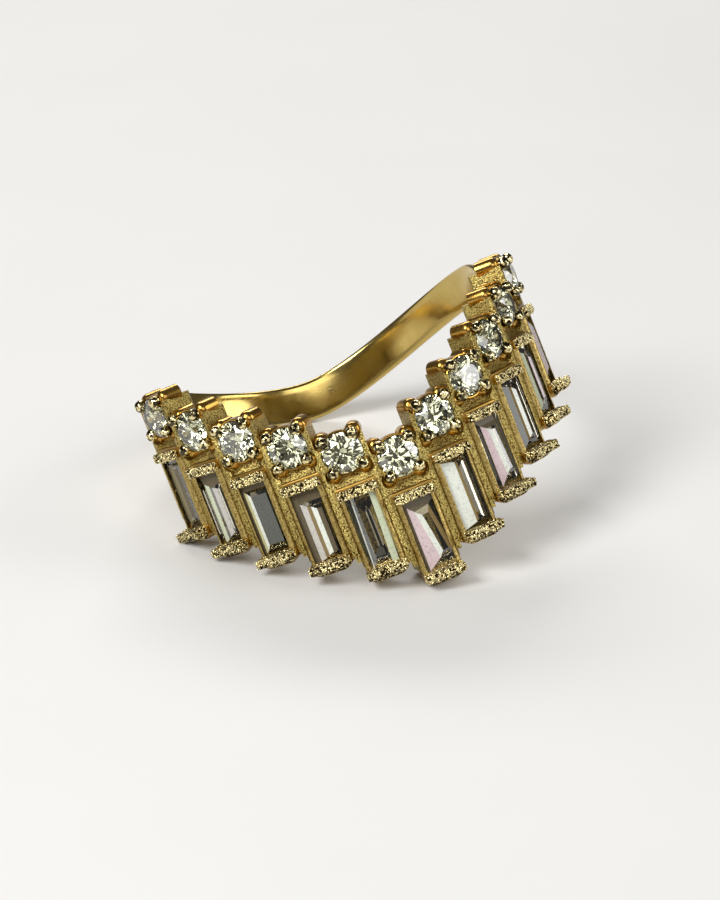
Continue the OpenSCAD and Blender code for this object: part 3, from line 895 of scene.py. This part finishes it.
# The steps below the girdle: height, half width and half length
PAVILION = [(-0.30, 0.70, 1.71), (-0.55, 0.42, 1.37), (-0.74, 0.03, 0.90)]
# Clear stone, then opaque facets painted with the stone's light: white, pearl, rose, pale, sage, straw and
# olive are painted reflections; smoke, bronze and umber are painted shade.
SHADES = {
    "clear": diamond("clear_stone", (0.92, 0.88, 0.72)),
    "white": painted_light_facet("white_painted_reflection", (0.74, 0.77, 0.68)),
    "pearl": painted_light_facet("pearl_painted_reflection", (0.54, 0.51, 0.46)),
    "rose": painted_light_facet("rose_painted_reflection", (0.66, 0.52, 0.53)),
    "pale": painted_light_facet("pale_painted_reflection", (0.62, 0.64, 0.52)),
    "sage": painted_light_facet("sage_painted_reflection", (0.60, 0.65, 0.46)),
    "straw": painted_light_facet("straw_painted_reflection", (0.60, 0.57, 0.30)),
    "smoke": painted_light_facet("smoke_painted_shade", (0.075, 0.08, 0.065)),
    "olive": painted_light_facet("olive_painted_reflection", (0.28, 0.24, 0.13)),
    "bronze": painted_light_facet("bronze_painted_shade", (0.22, 0.15, 0.05)),
    "umber": painted_light_facet("umber_painted_shade", (0.12, 0.095, 0.055), 1.3),
}


def stepped(stone, up, rectangles):
    """Grows one side of a stone in steps, each a rectangle at its own height and a little turned."""
    side = (-BAGUETTE_W / 2, BAGUETTE_W / 2, -BAGUETTE_L / 2, BAGUETTE_L / 2)
    level = GIRDLE_HALF * up
    turned_by = 0
    choose(stone, "FACE", lambda c, n: n.z * up > 0.9)
    for height, c0, c1, d0, d1, turn in rectangles:
        a0, a1, b0, b1 = side
        middle = ((a0 + a1) / 2, (b0 + b1) / 2, height)
        bpy.ops.mesh.extrude_region_move(TRANSFORM_OT_translate={"value": (0, 0, height - level)})
        bpy.ops.transform.rotate(value=math.radians(turned_by), orient_axis="Z", center_override=middle)
        size = ((c1 - c0) / (a1 - a0), (d1 - d0) / (b1 - b0), 1)
        bpy.ops.transform.resize(value=size, center_override=middle)
        bpy.ops.transform.rotate(value=math.radians(-turn), orient_axis="Z", center_override=middle)
        bpy.ops.transform.translate(value=((c0 + c1 - a0 - a1) / 2, (d0 + d1 - b0 - b1) / 2, 0))
        side, level, turned_by = (c0, c1, d0, d1), height, turn
    done()


def baguette(i):
    """A station's step-cut stone, with painted reflections and painted shade on some of its facets."""
    rows = CROWNS[i]
    rise = (CROWN_HIGH - CROWN_LOW) / (len(rows) - 1)
    half_w, half_l = BAGUETTE_W / 2, BAGUETTE_L / 2
    stone = block(f"baguette_{number(i)}", (-half_w, -half_l, -GIRDLE_HALF), (half_w, half_l, GIRDLE_HALF))
    stepped(stone, 1, [(CROWN_LOW + rise * k, *row[:5]) for k, row in enumerate(rows)])
    stepped(stone, -1, [(z, -w, w, -l, l, 0) for z, w, l in PAVILION])
    outward(stone)
    shades = ["clear"]
    for face in stone.data.polygons:
        c, n = face.center, face.normal
        if n.z < 0.1:
            continue
        if c.z < CROWN_LOW:
            left, right, top = MARGINS.get(i, ("clear", "clear", "clear"))
        else:
            left, right, top = rows[min(int((c.z - CROWN_LOW) / rise), len(rows) - 1)][5:]
        if abs(n.x) >= abs(n.y) * 0.5:
            shade = left if n.x <= 0.001 else right
        else:
            shade = top if n.y > 0 else "clear"
        if shade not in shades:
            shades.append(shade)
        face.material_index = shades.index(shade)
    stone.data.transform(Matrix.Translation((0, -ROW_GAP, BAGUETTE_Z)))
    placed(stone, station(i))
    finished(stone, *(SHADES[shade] for shade in shades), slot="diamond")
    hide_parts(f"baguette_diamond_{number(i)}")


ROUND_STONE = diamond("round_stone", (0.92, 0.925, 0.62), 0.03)
for i in STATIONS:
    baguette(i)
    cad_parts[f"round_diamond_{number(i)}"].material_slots[0].material = ROUND_STONE
    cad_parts[f"baguette_diamond_{number(i)}"].material_slots[0].material = SHADES["clear"]


# Floor, light and camera


def floor():
    """A pale matte floor under the ring."""
    bpy.ops.object.select_all(action="DESELECT")
    bpy.ops.mesh.primitive_plane_add(size=FLOOR_SIZE)
    obj = named("floor")
    made, tree, shader = material("pale_floor")
    tint = mix_colours(tree, noise(tree, 60, 2), (0.74, 0.73, 0.71), (0.78, 0.77, 0.75))
    tree.links.new(tint, shader.inputs["Base Color"])
    shader.inputs["Roughness"].default_value = 0.6
    obj.data.materials.append(made)


def softbox(name, place, size, power):
    """A lamp with a broad soft face, turned to the middle of the ring."""
    light = bpy.data.lights.new(name, "AREA")
    light.shape = "RECTANGLE"
    light.size, light.size_y = size
    light.energy = power
    obj = bpy.data.objects.new(name, light)
    bpy.context.scene.collection.objects.link(obj)
    obj.location = place
    obj.rotation_euler = (RING_MIDDLE - Vector(place)).to_track_quat("-Z", "Y").to_euler()


# These two are in metres
FLOOR_SIZE = 3
RING_MIDDLE = Vector((0, 0, 0.005))
floor()
softbox("key", (-0.24, -0.14, 0.26), (0.18, 0.18), 1.25)
softbox("front", (0.03, -0.34, 0.24), (0.30, 0.20), 0.42)
softbox("side", (0.28, -0.08, 0.14), (0.16, 0.20), 0.34)
softbox("back", (0.02, 0.28, 0.18), (0.24, 0.07), 0.45)

world = bpy.data.worlds.new("studio")
bpy.context.scene.world = world
world.use_nodes = True
around = world.node_tree.nodes["Background"]
around.inputs["Color"].default_value = (1.0, 0.98, 0.93, 1)
around.inputs["Strength"].default_value = 0.11

# The photo's camera: a long lens, 19 cm from the ring and 24 degrees above the floor
camera = bpy.data.cameras.new("camera")
camera.sensor_fit = "HORIZONTAL"
camera.sensor_width = 36
camera.lens = 182.78
camera.clip_start = 0.01
camera.clip_end = 10
viewer = bpy.data.objects.new("camera", camera)
bpy.context.scene.collection.objects.link(viewer)
viewer.location = (-0.040157, -0.165609, 0.079712)
viewer.rotation_euler = (1.14637, 0.01658, -0.24887)
bpy.context.scene.camera = viewer
bpy.context.scene.view_settings.view_transform = "Standard"
